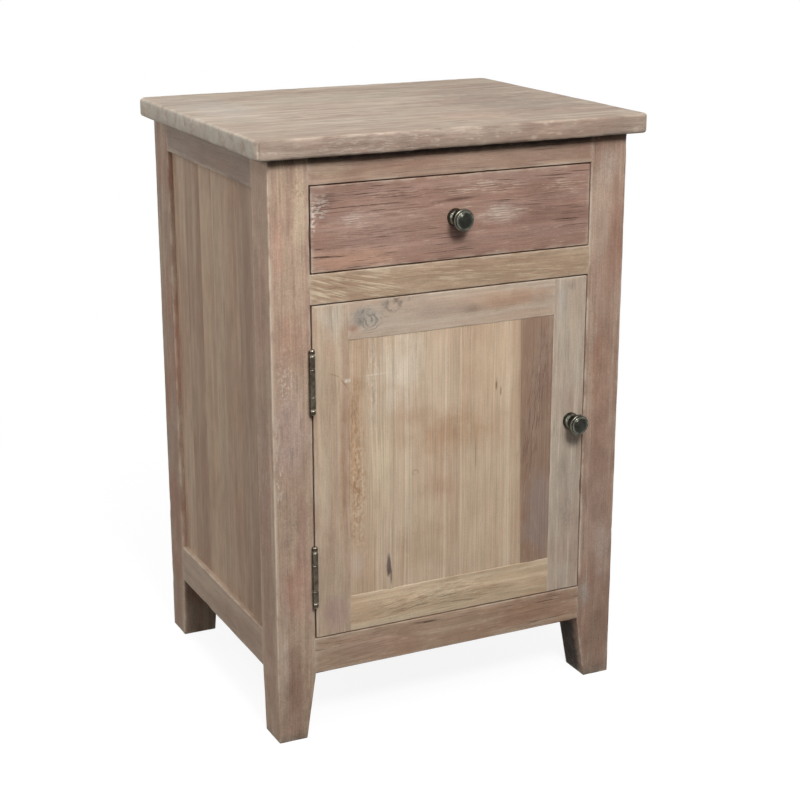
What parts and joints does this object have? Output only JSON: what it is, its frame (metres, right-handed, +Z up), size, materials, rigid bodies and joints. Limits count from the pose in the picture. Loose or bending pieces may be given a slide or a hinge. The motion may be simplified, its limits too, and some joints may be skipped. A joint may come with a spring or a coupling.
{
  "type": "nightstand",
  "caption": "Reclaimed-wood nightstand with tapered square legs, an overhanging plank top, an inset drawer and an inset framed door on butt hinges, both with round dark knobs.",
  "frame": {"origin": "on the floor, under the centre of the bounding box", "axes": "+Z up, the front with drawer and door faces -Y, +X to the right seen from the front"},
  "size_m": [0.48, 0.405, 0.7],
  "materials": {
    "frame_wood": "washed matt",
    "top_wood": "washed matt",
    "drawer_wood": "washed matt",
    "door_wood": "washed matt",
    "inside_wood": "sanded, unfinished",
    "dark_bronze": "darkened, rubbed",
    "screw_steel": "plain",
    "catch_plastic": "moulded"
  },
  "bodies": {
    "cabinet": {"leg_front_left": "frame_wood", "leg_front_right": "frame_wood", "leg_back_left": "frame_wood", "leg_back_right": "frame_wood", "top_board": "top_wood", "front_top_rail": "frame_wood", "front_middle_rail": "frame_wood", "front_bottom_rail": "frame_wood", "side_top_rail_left": "frame_wood", "side_top_rail_right": "frame_wood", "side_bottom_rail_left": "frame_wood", "side_bottom_rail_right": "frame_wood", "side_panel_left": "frame_wood", "side_panel_right": "frame_wood", "back_top_rail": "frame_wood", "back_bottom_rail": "frame_wood", "back_panel": "inside_wood", "cabinet_floor": "inside_wood", "floor_cleat_left": "inside_wood", "floor_cleat_right": "inside_wood", "drawer_runner_left": "inside_wood", "drawer_runner_right": "inside_wood", "drawer_guide_left": "inside_wood", "drawer_guide_right": "inside_wood", "drawer_kicker_left": "inside_wood", "drawer_kicker_right": "inside_wood", "drawer_stop_left": "inside_wood", "drawer_stop_right": "inside_wood", "top_screws": "screw_steel", "hinge_upper_frame_leaf": "dark_bronze", "hinge_lower_frame_leaf": "dark_bronze", "hinge_upper_pin": "dark_bronze", "hinge_lower_pin": "dark_bronze", "hinge_frame_screws": "screw_steel", "catch_body": "catch_plastic", "catch_magnet": "screw_steel", "catch_screws": "screw_steel"},
    "drawer": {"drawer_front": "drawer_wood", "drawer_side_left": "inside_wood", "drawer_side_right": "inside_wood", "drawer_back": "inside_wood", "drawer_bottom": "inside_wood", "drawer_knob": "dark_bronze", "drawer_knob_screw": "screw_steel"},
    "door": {"door_stile_left": "door_wood", "door_stile_right": "door_wood", "door_rail_top": "door_wood", "door_rail_bottom": "door_wood", "door_panel": "door_wood", "door_knob": "dark_bronze", "door_knob_screw": "screw_steel", "hinge_upper_door_leaf": "dark_bronze", "hinge_lower_door_leaf": "dark_bronze", "hinge_door_screws": "screw_steel", "catch_strike": "screw_steel", "catch_strike_screws": "screw_steel"}
  },
  "joints": [
    {"name": "drawer_slide", "type": "slide", "parent": "cabinet", "child": "drawer", "axis": [0, -1, 0], "range_m": [0, 0.24]},
    {"name": "door_swing", "type": "hinge", "parent": "cabinet", "child": "door", "pos_m": [-0.176, -0.1795, 0.32], "axis": [0, 0, -1], "range_deg": [0, 170]}
  ]
}
